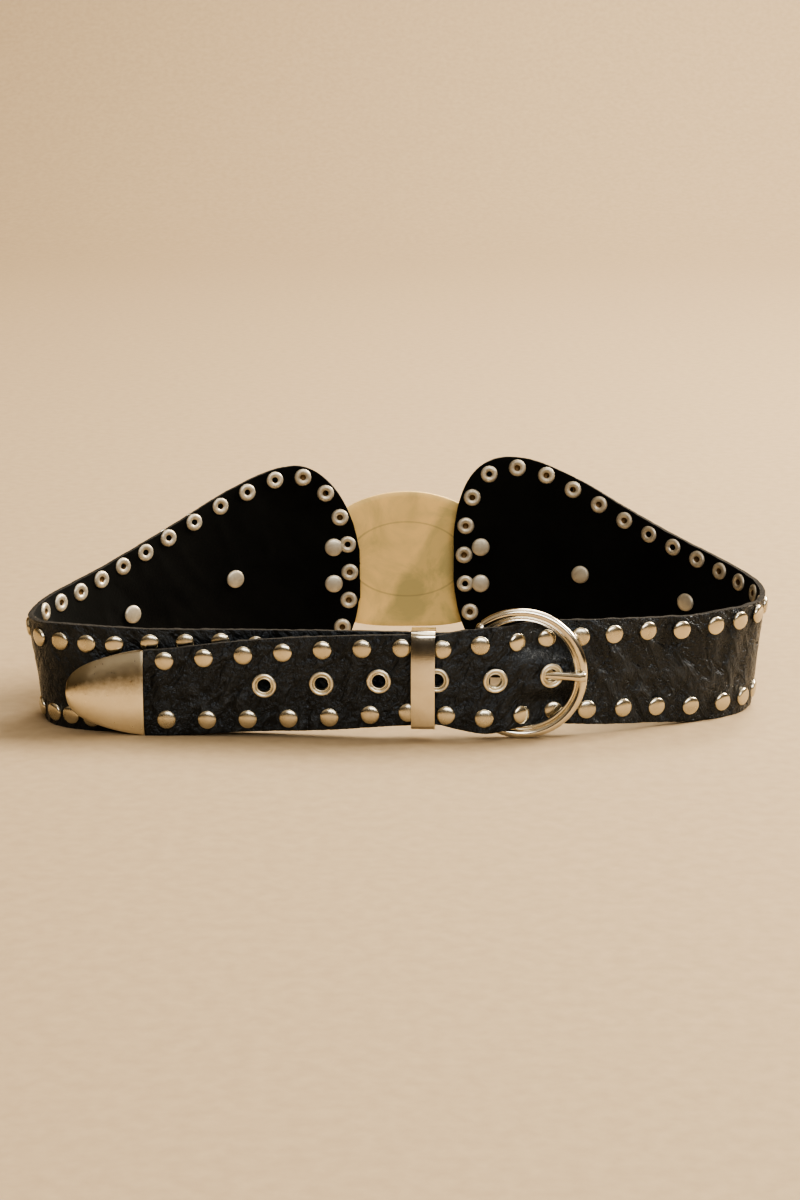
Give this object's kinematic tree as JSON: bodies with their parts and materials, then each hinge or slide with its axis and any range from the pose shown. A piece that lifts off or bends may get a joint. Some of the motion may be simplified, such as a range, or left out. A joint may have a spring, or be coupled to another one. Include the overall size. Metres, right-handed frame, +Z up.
{
  "type": "studded hip belt",
  "caption": "Black leather hip belt fastened in a loop, with domed edge studs, a round buckle, a metal strap tip, and two wide flaps joined by an oval brass plate.",
  "frame": {"origin": "middle of the belt's box, on the surface that it stands on", "axes": "+X to the right seen from the buckle, +Y from the buckle to the back plate, +Z up"},
  "size_m": [0.3224, 0.1383, 0.0982],
  "materials": {
    "leather": "worn black grain leather with domed nickel studs along the edges",
    "nickel": "polished nickel, slightly warm",
    "brass": "aged satin brass"
  },
  "bodies": {
    "root": {"tongue_strap": "leather", "buckle_strap": "leather", "strap_tip": "nickel", "buckle_frame": "nickel", "buckle_prong": "nickel", "keeper_loop": "nickel", "eyelet_1": "nickel", "eyelet_2": "nickel", "eyelet_3": "nickel", "eyelet_4": "nickel", "eyelet_5": "nickel", "eyelet_6": "nickel", "plate_rivet_1": "nickel", "plate_rivet_2": "nickel", "plate_rivet_3": "nickel", "plate_rivet_4": "nickel", "flap_rivet_1": "nickel", "flap_rivet_2": "nickel", "flap_rivet_3": "nickel", "flap_rivet_4": "nickel", "back_plate": "brass"}
  },
  "joints": []
}
